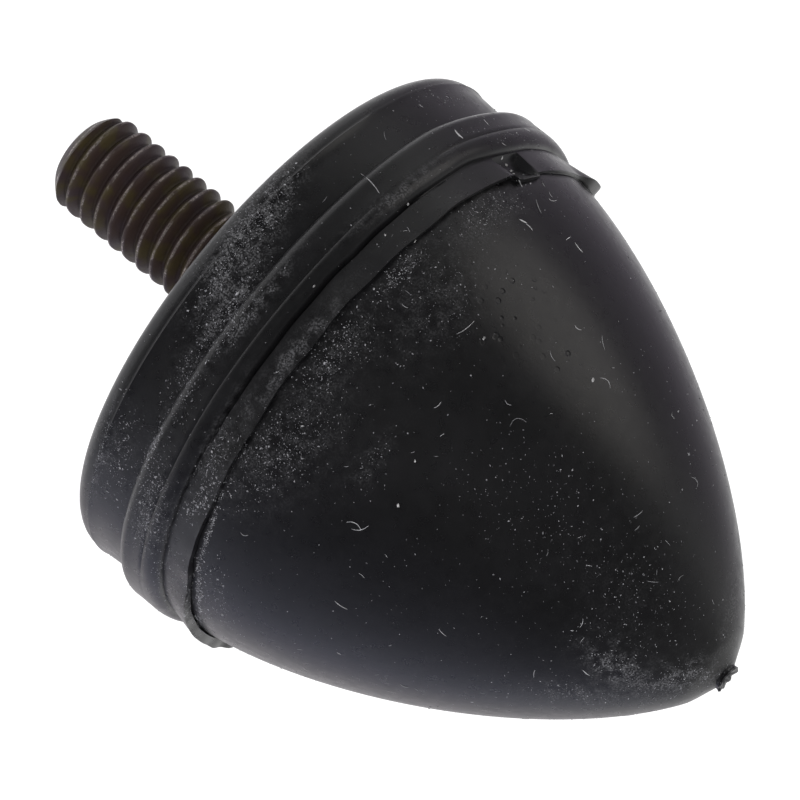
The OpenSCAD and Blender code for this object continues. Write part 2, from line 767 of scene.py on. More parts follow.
@dataclass(frozen=True)
class DustPatch:
    """Cloud of dust, placed by the photograph's pixels.

    Attributes:
        centre: Middle of the cloud.
        along: Half its length.
        across: Half its width.
        turn: Degrees from the image's horizontal down to its length.
        count: Grains in it.
        grain: Usual width of a grain in millimetres.
        film: Strength of the fine film under it, from zero to one.
    """

    centre: Pair
    along: float
    across: float
    turn: float
    count: int
    grain: float = 0.042
    film: float = 0.2

    def directions(self) -> np.ndarray:
        """Gives the image's directions along and across the cloud, as rows."""
        turn = math.radians(self.turn)
        return np.array([(math.cos(turn), math.sin(turn)), (-math.sin(turn), math.cos(turn))])

    def spread(self, draw: np.random.Generator) -> np.ndarray:
        """Scatters the grains.

        Args:
            draw: Random source.

        Returns:
            One pixel a grain.
        """
        steps = draw.normal(0.0, 0.5, (self.count, 2)) * (self.along, self.across)
        lengthwise, sideways = self.directions()
        return np.array(self.centre) + steps[:, :1] * lengthwise + steps[:, 1:] * sideways

    def weight(self, pixels: np.ndarray) -> np.ndarray:
        """Gives the film's strength.

        Args:
            pixels: One pixel a row.

        Returns:
            One strength a pixel.
        """
        lengthwise, sideways = self.directions()
        away = pixels - np.array(self.centre)
        square = (away @ lengthwise / self.along) ** 2 + (away @ sideways / self.across) ** 2
        return self.film * np.exp(-FILM_FALL * square)


DUST_PATCHES = {
    "band_by_stud": DustPatch((254, 219), 76, 22, 125, 700, film=1.0),
    "band_rim_by_stud": DustPatch((214, 282), 50, 12, 124, 180),
    "bead_middle": DustPatch((232, 312), 58, 16, 126, 520, film=0.8),
    "bead_left": DustPatch((186, 385), 46, 17, 116, 240),
    "band_left": DustPatch((114, 455), 52, 21, 104, 400),
    "band_line_left": DustPatch((100, 455), 60, 2, 104, 110, film=0.8),
    "bead_shoulder_left": DustPatch((153, 446), 36, 3, 114, 230, 0.055),
    "bead_low": DustPatch((151, 499), 52, 23, 98, 640, film=0.3),
    "bead_low_end": DustPatch((147, 526), 26, 18, 95, 260),
    "lip_low": DustPatch((199, 503), 28, 12, 135, 200, 0.06, 0.1),
    "lip_left": DustPatch((214, 462), 38, 14, 116, 220, film=0.1),
    "lip_foot_low": DustPatch((170, 590), 36, 14, 66, 300, film=0.2),
    "gap_low": DustPatch((209, 532), 42, 3, 108, 230, 0.055),
    "gap_end": DustPatch((199, 594), 36, 3, 88, 260, 0.06),
    "lip_end": DustPatch((188, 600), 44, 10, 78, 240, film=0.3),
    "cone_foot_low": DustPatch((215, 600), 40, 17, 80, 260),
    "cone_foot_left": DustPatch((277, 452), 78, 42, 140, 800, film=0.25),
    "cone_foot_middle": DustPatch((336, 352), 58, 24, 128, 400, film=0.25),
    "cone_foot_upper": DustPatch((402, 271), 36, 11, 132, 200, 0.048, 0.3),
    "cone_foot_top": DustPatch((488, 211), 46, 22, 150, 300, film=0.35),
    "cone_upper": DustPatch((440, 300), 70, 40, 130, 260, film=0.2),
    "cone_streak": DustPatch((372, 462), 34, 12, 128, 60),
    "cone_middle": DustPatch((533, 508), 96, 64, 20, 300, film=0.0),
    "cone_low": DustPatch((632, 600), 84, 64, 60, 300, film=0.05),
    "nose_chalk": DustPatch((614, 666), 32, 18, 30, 160, film=1.0),
    "nose_ridge": DustPatch((682, 679), 52, 16, -14, 260, film=1.0),
    "low_edge": DustPatch((572, 693), 46, 11, 4, 160, film=0.7),
    "bead_crown": DustPatch((512, 136), 54, 11, 12, 120, film=0.1),
    "band_crown": DustPatch((446, 98), 50, 10, 10, 100, film=0.15),
}

FILM_STREAKS = {
    "lip_middle": DustPatch((287, 361), 84, 9, 129, 0, film=0.7),
    "groove_left": DustPatch((208, 448), 74, 6, 117, 0, film=0.4),
    "groove_low": DustPatch((168, 560), 50, 5, 86, 0, film=0.3),
    "band_haze": DustPatch((236, 262), 56, 12, 124, 0, film=0.8),
    "bead_streak": DustPatch((262, 300), 56, 6, 128, 0, film=0.9),
    "bead_upper_streak": DustPatch((396, 195), 60, 8, 142, 0, film=0.6),
    "nose_flank": DustPatch((733, 605), 74, 10, 97, 0, film=0.5),
}

PIT_PATCHES = {
    "flank_pits": DustPatch((510, 310), 36, 24, 120, 0, film=1.0),
    "flank_pits_below": DustPatch((562, 352), 28, 16, 60, 0, film=0.6),
}


@dataclass(frozen=True)
class Seat:
    """Place on the rubber's skin.

    Attributes:
        point: The place itself.
        normal: Direction out of the skin there.
    """

    point: Vector
    normal: Vector

    def frame(self, turn: float) -> np.ndarray:
        """Gives two directions along the skin and the one out of it.

        Args:
            turn: Radians that the first direction is turned about the normal.

        Returns:
            The three directions as rows.
        """
        helper = Vector((0, 0, 1)) if abs(self.normal.z) < 0.9 else Vector((1, 0, 0))
        first = helper.cross(self.normal).normalized()
        second = self.normal.cross(first)
        turned = first * math.cos(turn) + second * math.sin(turn)
        return np.array([turned, self.normal.cross(turned), self.normal])


class Skin:
    """Rubber's surface, on which dust and lint are seated."""

    def __init__(self, shell: ShellMesh, view: PhotoView) -> None:
        """Prepares the rubber's mesh for the rays of the photograph's camera."""
        self.tree = BVHTree.FromPolygons(shell.all_points().tolist(), shell.faces)
        self.view = view

    def under_pixel(self, pixel: Sequence[float]) -> Seat | None:
        """Finds the place that a pixel of the photograph shows, or None beside the rubber."""
        point, normal, _, _ = self.tree.ray_cast(Vector(self.view.position), self.view.ray(pixel))
        return None if point is None else Seat(point, normal)

    def at(self, azimuth: float, height: float) -> Seat | None:
        """Finds the place at an azimuth and a height.

        Args:
            azimuth: Angle round the axis in radians.
            height: Height above the base face.

        Returns:
            The place, or None above the nose.
        """
        reach = 40.0
        out = Vector((math.cos(azimuth), math.sin(azimuth), 0))
        point, normal, _, _ = self.tree.ray_cast(out * reach + Vector((0, 0, height)), -out, reach)
        return None if point is None else Seat(point, normal)

    def nearest(self, place: Vector) -> Seat:
        """Finds the place nearest to a point."""
        point, normal, _, _ = self.tree.find_nearest(place)
        return Seat(point, normal)


@dataclass
class RubberBody:
    """Rubber moulding: base band, bead, groove, torn flash lip, cone and gate stub.

    The lip's plane runs out of true, lowest on the side at azimuth -90 and highest opposite, and the whole
    flange sweeps up a little at azimuth 180. The lip has a torn pocket near that side, and lies close on the
    cone past it. At azimuth 0 it is thick and frayed and stands out. Angles are degrees round the axis from
    +X, and a span is the pair of cosines of the azimuth between which something sets in.
    """

    sizes: CadSizes
    view: PhotoView
    finish: RubberFinish = field(default_factory=RubberFinish)
    coarse: int = 360
    fine: int = 1080
    cone_rings: int = 84
    film_least: float = 0.015

    # Cone
    cone_r: float = 15.0
    cone_foot: float = 7.6
    cone_point: float = 30.5
    flank_power: float = 1.44
    nose_power: float = 0.7

    # Base band and bead, with their parting lines
    band_r: float = 15.2
    band_h: float = 3.6
    waist_r: float = 15.02
    edge_round: float = 1.0
    base_flat: float = 0.6
    parting_w: float = 0.16
    parting_depth: float = 0.035
    bead_skin: float = 0.05
    bead_draft: float = 0.02
    bead_shoulder: float = 0.6
    bead_line: float = 5.28
    line_rise: float = 0.049
    line_fades: tuple[Ripple, Ripple] = (Ripple(21, 1, 9, 0.4), Ripple(24, 1, 9, 0.4))
    band_dip: Ripple = Ripple(22, 2, 14, 0.02)
    bead_swell: Ripple = Ripple(23, 2, 12, 0.012)
    sweep: float = 0.36
    sweep_span: Pair = (-0.72, -0.96)

    # Groove, and the lip from its foot to its free edge
    groove_depth: float = 0.22
    groove_w: float = 0.09
    groove_start: float = -54.0
    groove_end: float = -134.0
    groove_fade: float = 24.0
    groove_least: float = 0.02
    lip_foot: float = 6.2
    lip_foot_tilt: float = 0.42
    lip_ledge_r: float = 15.2
    ledge_fall: float = 0.08
    lip_heel: float = 0.03
    lip_least: float = 0.06
    rim_least: float = 0.02
    lip_edge: float = 7.66
    lip_edge_tilt: float = 0.58
    lip_over: float = 0.34
    lip_t: float = 0.2
    lip_gap: float = 0.5
    lip_gap_w: float = 0.06
    gap_least: float = 0.08
    gap_fill: float = 0.75
    gap_cut: float = 0.04
    lip_fill: float = 1.5
    fill_span: Pair = (0.35, 0.75)
    lip_press: float = 0.8
    press_span: Pair = (-0.80, -0.84)
    lip_spring: float = 0.7
    spring_span: Pair = (0.85, 0.99)
    fray_rise: float = 0.012
    fray_out: float = 0.008
    fray_least: float = 0.5
    fray_more: float = 1.3
    fray_span: Pair = (0.55, 0.95)
    fray_shape: Ripple = Ripple(11, 15, 60)
    foot_wander: Ripple = Ripple(13, 5, 40, 0.012)
    edge_wander: Ripple = Ripple(12, 3, 24, 0.03)
    edge_bow: Ripple = Ripple(14, 4, 30, 0.025)
    lip_lumps: Ripple = Ripple(31, 8, 50, 0.005)

    # Torn pocket in the lip, and the fin that stands off behind it
    tear_start: float = -144.6
    tear_end: float = -153.4
    tear_fade: float = 0.8
    tear_depth: float = 0.5
    tear_bulge: float = 0.28
    fin_at: float = 179.0
    fin_w: float = 5.5
    fin_over: float = 0.4
    fin_rise: float = 0.38

    # Nose and gate stub
    cone_start: float = 0.15
    cone_swell: Ripple = Ripple(41, 2, 5, 0.015)
    tip_pinch: float = 0.35
    tip_pinch_h: float = 0.8
    gate_r: float = 0.75
    gate_dish: float = 0.22
    gate_worn: float = 0.10
    gate_nub: float = 0.06
    gate_rough: float = 0.02
    gate_tear: Ripple = Ripple(42, 3, 9)

    def __post_init__(self) -> None:
        """Works out the angles of the rings and the lip's wandering edges."""
        self.wide = np.linspace(-math.pi, math.pi, self.coarse, endpoint=False)
        self.close = np.linspace(-math.pi, math.pi, self.fine, endpoint=False)
        self.wide_lift = self.sweep * smooth_step(*self.sweep_span, np.cos(self.wide))
        self.close_lift = self.sweep * smooth_step(*self.sweep_span, np.cos(self.close))
        self._shape_lip(np.degrees(self.close), np.cos(self.close), 1 + np.sin(self.close))

    def _shape_lip(self, degrees: np.ndarray, across: np.ndarray, back: np.ndarray) -> None:
        """Works out where the lip is torn, loose, filled or frayed, and its two edges.

        Args:
            degrees: Azimuths of the lip's points.
            across: Cosines of those azimuths.
            back: How far each lies towards the high side of the lip, from zero to two.
        """
        frayed = self.fray_least + self.fray_more * smooth_step(*self.fray_span, across)
        fray = frayed * self.fray_shape.at(self.close)
        beside_fin = (degrees - self.fin_at + 180) % 360 - 180
        fin = np.exp(-((beside_fin / self.fin_w) ** 4))
        self.torn = between(self.tear_start, self.tear_end, self.tear_fade, degrees)
        self.loose = 1 - self.lip_press * smooth_step(*self.press_span, across)
        self.loose *= 1 + self.lip_spring * smooth_step(*self.spring_span, across)
        self.filled = smooth_step(*self.fill_span, across)
        seen = between(self.groove_start, self.groove_end, self.groove_fade, degrees)
        self.open = self.groove_least + (1 - self.groove_least) * seen
        self.foot_z = self.lip_foot + self.lip_foot_tilt * back + self.foot_wander.at(self.close)
        self.foot_z += self.close_lift
        self.edge_z = self.lip_edge + self.lip_edge_tilt * back + self.edge_wander.at(self.close)
        self.edge_z += self.close_lift + self.fray_rise * fray
        self.edge_z += self.tear_bulge * self.torn + self.fin_rise * fin
        self.edge_r = self.cone_r + self.lip_over * self.loose + self.fin_over * fin
        self.edge_r += self.edge_bow.at(self.close) + self.fray_out * fray
        self.edge_r = np.maximum(self.edge_r, self.cone_at(self.edge_z) + self.lip_least)
        self.edge_r = np.minimum(self.edge_r, self.sizes.bead_r - self.bead_skin)

    def cone_at(self, height: np.ndarray) -> np.ndarray:
        """Gives the cone's radius at heights above the base face."""
        share = np.clip((height - self.cone_foot) / (self.cone_point - self.cone_foot), 0.0, 1.0)
        return self.cone_r * (1 - share**self.flank_power) ** self.nose_power

    def height_at(self, radius: float) -> float:
        """Gives the height at which the cone has narrowed to a radius."""
        rest = 1 - (radius / self.cone_r) ** (1 / self.nose_power)
        return self.cone_foot + (self.cone_point - self.cone_foot) * rest ** (1 / self.flank_power)

    def pocket_rings(self) -> list[np.ndarray]:
        """Makes the pocket for the plate and the stud's head.

        Returns:
            Rings from the axis out to the base face.
        """
        size = self.sizes
        corners = [
            (size.head_r, size.head_top),
            (size.head_r, size.plate_t),
            (size.plate_r, size.plate_t),
            (size.plate_r, 0.0),
        ]
        return [axis_point(size.head_top), *(round_ring(self.wide, *corner) for corner in corners)]

    def parting_rings(
        self, radius: float, height: np.ndarray | float, fade: Ripple, rise: float
    ) -> list[np.ndarray]:
        """Makes a fine line that fades in and out round the body.

        Args:
            radius: Radius of the wall.
            height: Height of the line, the same all round or one a point.
            fade: How it fades in and out.
            rise: How far it stands out of the wall, below zero for a groove.

        Returns:
            Three rings.
        """
        relief = rise * np.clip(0.9 + fade.at(self.wide), 0.4, 1.5)
        half = self.parting_w / 2
        return [
            round_ring(self.wide, radius, height - half),
            round_ring(self.wide, radius + relief, height),
            round_ring(self.wide, radius, height + half),
        ]

    def band_rings(self) -> list[np.ndarray]:
        """Makes the base band with its round lower edge.

        Returns:
            Rings from the base face up to the step under the bead.
        """
        edge_r = self.band_r - self.edge_round
        turns = np.radians(np.linspace(-90, 0, 10))
        rings = [round_ring(self.wide, edge_r - self.base_flat, 0.0)]
        for turn in turns:
            radius = edge_r + self.edge_round * math.cos(turn)
            rings.append(round_ring(self.wide, radius, self.edge_round * (1 + math.sin(turn))))
        line = self.edge_round + self.parting_w
        rings += self.parting_rings(self.band_r, line, self.line_fades[0], self.line_rise)
        start = self.edge_round + 2 * self.parting_w
        rise = self.band_h + self.wide_lift - start
        for share in (0.2, 0.5, 0.8, 0.95, 1.0):
            radius = self.band_r + (self.waist_r - self.band_r) * share
            dip = self.band_dip.at(self.wide) * math.sin(math.pi * share)
            rings.append(round_ring(self.wide, radius + dip, start + rise * share))
        return rings

    def bead_rings(self) -> list[np.ndarray]:
        """Makes the bead.

        Returns:
            Rings from the step to the start of its fall into the groove.
        """
        bead_r = self.sizes.bead_r - self.bead_skin
        middle_r = bead_r - self.bead_shoulder
        foot = self.band_h + self.wide_lift
        rings = []
        for turn in np.radians(np.linspace(-90, 0, 9)):
            radius = middle_r + self.bead_shoulder * math.cos(turn)
            rings.append(round_ring(self.wide, radius, foot + self.bead_shoulder * (1 + math.sin(turn))))
        start = foot + self.bead_shoulder
        wall = self.bead_line - self.parting_w - self.band_h - self.bead_shoulder
        for share in (0.3, 0.6, 0.9):
            swell = self.bead_swell.at(self.wide) * math.sin(math.pi * share)
            rings.append(round_ring(self.wide, bead_r - self.bead_draft + swell, start + wall * share))
        line = self.bead_line + self.wide_lift
        wall_r = bead_r - self.bead_draft
        return rings + self.parting_rings(wall_r, line, self.line_fades[1], -self.parting_depth)

    def lip_rings(self) -> list[np.ndarray]:
        """Makes the bead's fall, the groove, the torn lip and the gap behind it.

        Returns:
            Rings from the bead up to the cone.
        """
        bead_r = self.sizes.bead_r - self.bead_skin - self.bead_draft
        start = self.bead_line + self.close_lift + self.parting_w
        top = self.foot_z - self.groove_w
        ledge = self.lip_ledge_r - self.ledge_fall * self.open
        groove_r = ledge - self.groove_depth * self.open
        rings = []
        for turn in np.radians(np.linspace(8, 82, 8)):
            radius = ledge + (bead_r - ledge) * math.cos(turn)
            rings.append(round_ring(self.close, radius, start + (top - start) * math.sin(turn)))
        rings.append(round_ring(self.close, 0.6 * groove_r + 0.4 * ledge, top + 0.01))
        rings.append(round_ring(self.close, groove_r, self.foot_z - 0.4 * self.groove_w))
        rings.append(round_ring(self.close, 0.8 * groove_r + 0.2 * ledge, self.foot_z))
        for share in (0.0, 0.06, 0.2, 0.4, 0.6, 0.8, 0.93, 1.0):
            dent = self.tear_depth * self.torn * math.sin(math.pi * share**0.6)
            flare = self.lip_ledge_r + (self.edge_r - self.lip_ledge_r) * share**1.15
            lumps = self.lip_lumps.at(self.close + share) * math.sin(math.pi * share)
            height = self.foot_z + self.lip_heel + (self.edge_z - self.foot_z - self.lip_heel) * share
            rings.append(round_ring(self.close, flare - dent + lumps, height))
        gap = self.lip_gap * np.maximum(1.2 * self.loose - 0.2, self.gap_least)
        gap = gap * (1 - self.gap_fill * self.filled)
        thick = self.lip_t * (1 + self.lip_fill * self.filled)
        inner_r = np.maximum(self.edge_r - thick, self.cone_at(self.edge_z) + self.rim_least)
        rings.append(round_ring(self.close, inner_r, self.edge_z))
        for drop, width in ((0.35, 0.65 * self.lip_gap_w), (1.0, 0.0)):
            height = self.edge_z - gap * drop
            rings.append(round_ring(self.close, self.cone_at(height) + width, height))
        for drop in (0.7, 0.35, 0.05):
            height = self.edge_z - gap * drop
            rings.append(round_ring(self.close, self.cone_at(height) - self.gap_cut, height))
        return rings

    def nose_rings(self) -> list[np.ndarray]:
        """Makes the cone and the torn gate stub on its nose.

        Returns:
            Rings from the lip up to the axis.
        """
        start = (self.edge_z + self.cone_start)[:: self.fine // self.coarse]
        stop = self.height_at(self.gate_r + self.tip_pinch)
        rings = []
        for turn in np.radians(np.linspace(0, 90, self.cone_rings)):
            height = start + (stop - start) * math.sin(turn)
            swell = self.cone_swell.at(self.wide) * math.sin(2 * turn)
            pinch = self.tip_pinch * smooth_step(stop - self.tip_pinch_h, stop, height)
            rings.append(round_ring(self.wide, self.cone_at(height) + swell - pinch, height))
        torn = self.gate_tear.at(self.wide)
        nubs = np.abs(np.cos(self.wide)) ** 3
        top = self.sizes.body_top
        rim = top - self.gate_worn + self.gate_nub * nubs + self.gate_rough * torn
        rim = np.minimum(rim, top - 0.002)
        for share, width in ((0.3, 0.97), (0.75, 1.02), (1.0, 0.9)):
            radius = self.gate_r * (width + 0.05 * share * torn)
            rings.append(round_ring(self.wide, radius, stop + share * (rim - stop)))
        rings.append(round_ring(self.wide, self.gate_r * (0.62 + 0.06 * torn), rim - 0.05))
        rings.append(round_ring(self.wide, self.gate_r * 0.35, top - self.gate_dish + 0.03 * torn))
        return [*rings, axis_point(top - 0.8 * self.gate_dish)]

    def film_on(self, piece: bpy.types.Object, patches: Iterable[DustPatch]) -> np.ndarray:
        """Works out how strongly patches lie on each point of the seen side.

        Args:
            piece: The rubber's object.
            patches: Patches in the photograph's pixels.

        Returns:
            One strength a point.
        """
        count = len(piece.data.vertices)
        points, normals = np.empty(count * 3), np.empty(count * 3)
        piece.data.vertices.foreach_get("co", points)
        piece.data.vertices.foreach_get("normal", normals)
        points = points.reshape(-1, 3) / MM
        towards = np.array(self.view.position) - points
        seen = (normals.reshape(-1, 3) * towards).sum(axis=1) > 0
        pixels = self.view.pixels(points)
        return np.clip(sum(patch.weight(pixels) for patch in patches), 0, 1) * seen

    def build(self) -> Skin:
        """Makes the moulding, dresses it and lets it stand for the rubber's solid.

        Returns:
            Its skin.
        """
        shell = ShellMesh()
        shell.add_rings(
            self.pocket_rings() + self.band_rings() + self.bead_rings() + self.lip_rings() + self.nose_rings()
        )
        piece = shell.build(Piece.RUBBER.value, self.finish.build())
        film = self.film_on(piece, [*DUST_PATCHES.values(), *FILM_STREAKS.values()])
        write_layer(piece, FILM_LAYER, np.clip(film + self.film_least, 0, 1))
        write_layer(piece, PIT_LAYER, self.film_on(piece, PIT_PATCHES.values()))
        carry(piece, CadNode.RUBBER)
        return Skin(shell, self.view)


@dataclass
class ThreadedStud:
    """Steel stud with a rolled thread, its collar in the plate and its head inside the rubber."""

    sizes: CadSizes
    finish: ZincFinish = field(default_factory=ZincFinish)
    pitch: float = 1.0
    crest_r_loss: float = 0.10
    depth: float = 0.47
    start_phase: float = 0.77
    crest_power: float = 0.8
    crest_wobble: Ripple = Ripple(51, 2, 9, 0.012)
    tip_chamfer: float = 1.0
    tip_power: float = 0.75
    tip_dish: float = 0.25
    collar_step: float = 0.3
    plain_crest: float = 0.5
    around: int = 144
    step: float = 0.05

    def __post_init__(self) -> None:
        """Works out the angles of the rings."""
        self.turns = np.linspace(-math.pi, math.pi, self.around, endpoint=False)

    def thread(self, azimuth: np.ndarray, height: float) -> tuple[np.ndarray, np.ndarray]:
        """Gives the thread's radius and how near each point is to a crest.

        Args:
            azimuth: Angles round the axis in radians.
            height: Height, negative below the base face.

        Returns:
            Radii and nearness to the crest, from zero to one.
        """
        phase = (height / self.pitch - azimuth / math.tau + self.start_phase) % 1.0
        rise = 1 - np.abs(2 * phase - 1)
        crest = smooth_step(0.05, 0.95, rise) ** self.crest_power
        major = self.sizes.stud_r - self.crest_r_loss
        wobble = self.crest_wobble.at(azimuth + 0.7 * height)
        radius = major - self.depth * (1 - crest) + wobble * crest
        above_tip = height - self.sizes.stud_tip
        point_r = self.sizes.stud_r - self.tip_chamfer
        chamfer = point_r + self.tip_chamfer * (above_tip / self.tip_chamfer) ** self.tip_power
        return np.minimum(radius, chamfer), crest

    def plain_rings(self) -> tuple[list[np.ndarray], list[np.ndarray]]:
        """Makes what has no thread.

        Returns:
            Rings of the dished tip, and rings of the collar and the head.
        """
        size = self.sizes
        dish = round_ring(self.turns, 0.55 * (size.stud_r - self.tip_chamfer), size.stud_tip + 0.12)
        tip = [axis_point(size.stud_tip + self.tip_dish), dish]
        collar_r = size.stud_r + self.collar_step
        corners = [
            (collar_r, 0.0),
            (collar_r, size.plate_t),
            (size.head_r, size.plate_t),
            (size.head_r, size.head_top),
        ]
        head = [round_ring(self.turns, *corner) for corner in corners]
        return tip, [*head, axis_point(size.head_top)]

    def build(self) -> None:
        """Makes the stud, dresses it and lets it stand for the stud's solid."""
        length = -self.sizes.stud_tip
        heights = np.linspace(-length, 0.0, round(length / self.step) + 1)
        radii, crests = zip(*(self.thread(self.turns, height) for height in heights))
        thread = [round_ring(self.turns, *place) for place in zip(radii, heights)]
        tip, head = self.plain_rings()
        shell = ShellMesh()
        shell.add_rings([*tip, *thread, *head])
        piece = shell.build(Piece.STUD.value, self.finish.build(), crease=55.0)
        before, after = (np.full(sum(map(len, rings)), self.plain_crest) for rings in (tip, head))
        # The tip's middle point counts as a root, so it takes the roots' painted shade.
        before[0] = 0.0
        write_layer(piece, CREST_LAYER, np.concatenate([before, *crests, after]))
        carry(piece, CadNode.STUD)


@dataclass
class BasePlate:
    """Steel disc in the base, shown as its solid with a zinc finish."""

    finish: PlateFinish = field(default_factory=PlateFinish)

    def dress(self) -> None:
        """Gives the plate's solid its finish."""
        plate = frame["nodes"][CadNode.PLATE.value]
        plate.data.materials.clear()
        plate.data.materials.append(self.finish.build())
        LOG.info("%s: dressed", plate.name)


@dataclass(frozen=True)
class Fibre:
    """One lint fibre, placed by the photograph's pixels.

    Attributes:
        start: One end.
        end: Other end.
        bow: How far its middle stands off the straight line, as a share of its length.
        width: Its width in millimetres.
    """

    start: Pair
    end: Pair
    bow: float = 0.06
    width: float = 0.027

    def pixels(self, steps: int) -> np.ndarray:
        """Gives pixels along the fibre.

        Args:
            steps: How many.

        Returns:
            One pixel a row.
        """
        share = np.linspace(0, 1, steps)[:, None]
        start, end = np.array(self.start), np.array(self.end)
        across = np.array([-(end - start)[1], (end - start)[0]])
        return start + (end - start) * share + across * self.bow * 4 * share * (1 - share)


FIBRES = (
    Fibre((361, 174), (379, 193), -0.06, 0.04),
    Fibre((455, 131), (462, 138), 0.05, 0.085),
    Fibre((384, 132), (386, 140)),
    Fibre((519, 180), (522, 187), 0.05, 0.055),
    Fibre((536, 200), (541, 213), 0.04, 0.05),
    Fibre((542, 181), (545, 187)),
    Fibre((549, 192), (552, 197)),
    Fibre((549, 199), (557, 200), 0.2),
    Fibre((520, 220), (526, 223), 0.0, 0.07),
    Fibre((526, 224), (532, 230), -0.05, 0.045),
    Fibre((566, 240), (570, 237), 0.0, 0.05),
    Fibre((575, 243), (582, 252), 0.03, 0.045),
    Fibre((457, 334), (474, 321), 0.06, 0.024),
    Fibre((575, 326), (581, 330), 0.15, 0.045),
    Fibre((600, 378), (610, 388), -0.25, 0.024),
    Fibre((550, 351), (555, 361), 0.1, 0.024),
    Fibre((602, 336), (605, 350), 0.05, 0.022),
    Fibre((510, 426), (526, 422), -0.35, 0.03),
    Fibre((434, 408), (441, 402), 0.1),
    Fibre((347, 522), (361, 530), -0.2, 0.036),
    Fibre((352, 529), (368, 526), 0.15, 0.03),
    Fibre((335, 601), (347, 609), 0.05, 0.042),
    Fibre((439, 629), (446, 636), 0.05),
    Fibre((647, 581), (658, 582), 0.03, 0.036),
    Fibre((634, 517), (642, 511), 0.05, 0.045),
    Fibre((635, 530), (639, 526), 0.05, 0.045),
    Fibre((691, 477), (696, 489), -0.3, 0.024),
    Fibre((580, 627), (583, 619), 0.1),
    Fibre((583, 670), (589, 675), 0.05, 0.05),
    Fibre((535, 670), (534, 677), 0.1, 0.026),
    Fibre((402, 304), (408, 308), 0.1),
    Fibre((672, 412), (675, 419), 0.2, 0.024),
    Fibre((505, 400), (511, 405), 0.2, 0.024),
    Fibre((400, 684), (408, 687), 0.1, 0.036),
    Fibre((241, 533), (248, 535), 0.2, 0.036),
)

CHIPS = {
    "flank_flake": ((593, 380), 0.20),
    "left_flake": ((398, 505), 0.20),
    "upper_grain": ((484, 338), 0.15),
    "lower_grain": ((415, 461), 0.12),
    "cone_grain": ((302, 426), 0.11),
    "lip_grain": ((314, 286), 0.12),
    "groove_grain": ((408, 204), 0.14),
    "lip_foot_grain": ((385, 235), 0.14),
    "gap_grain": ((415, 241), 0.13),
    "tear_upper": ((502, 158), 0.16),
    "tear_middle": ((506, 165), 0.17),
    "tear_lower": ((511, 171), 0.16),
    "tear_end": ((514, 174), 0.13),
}


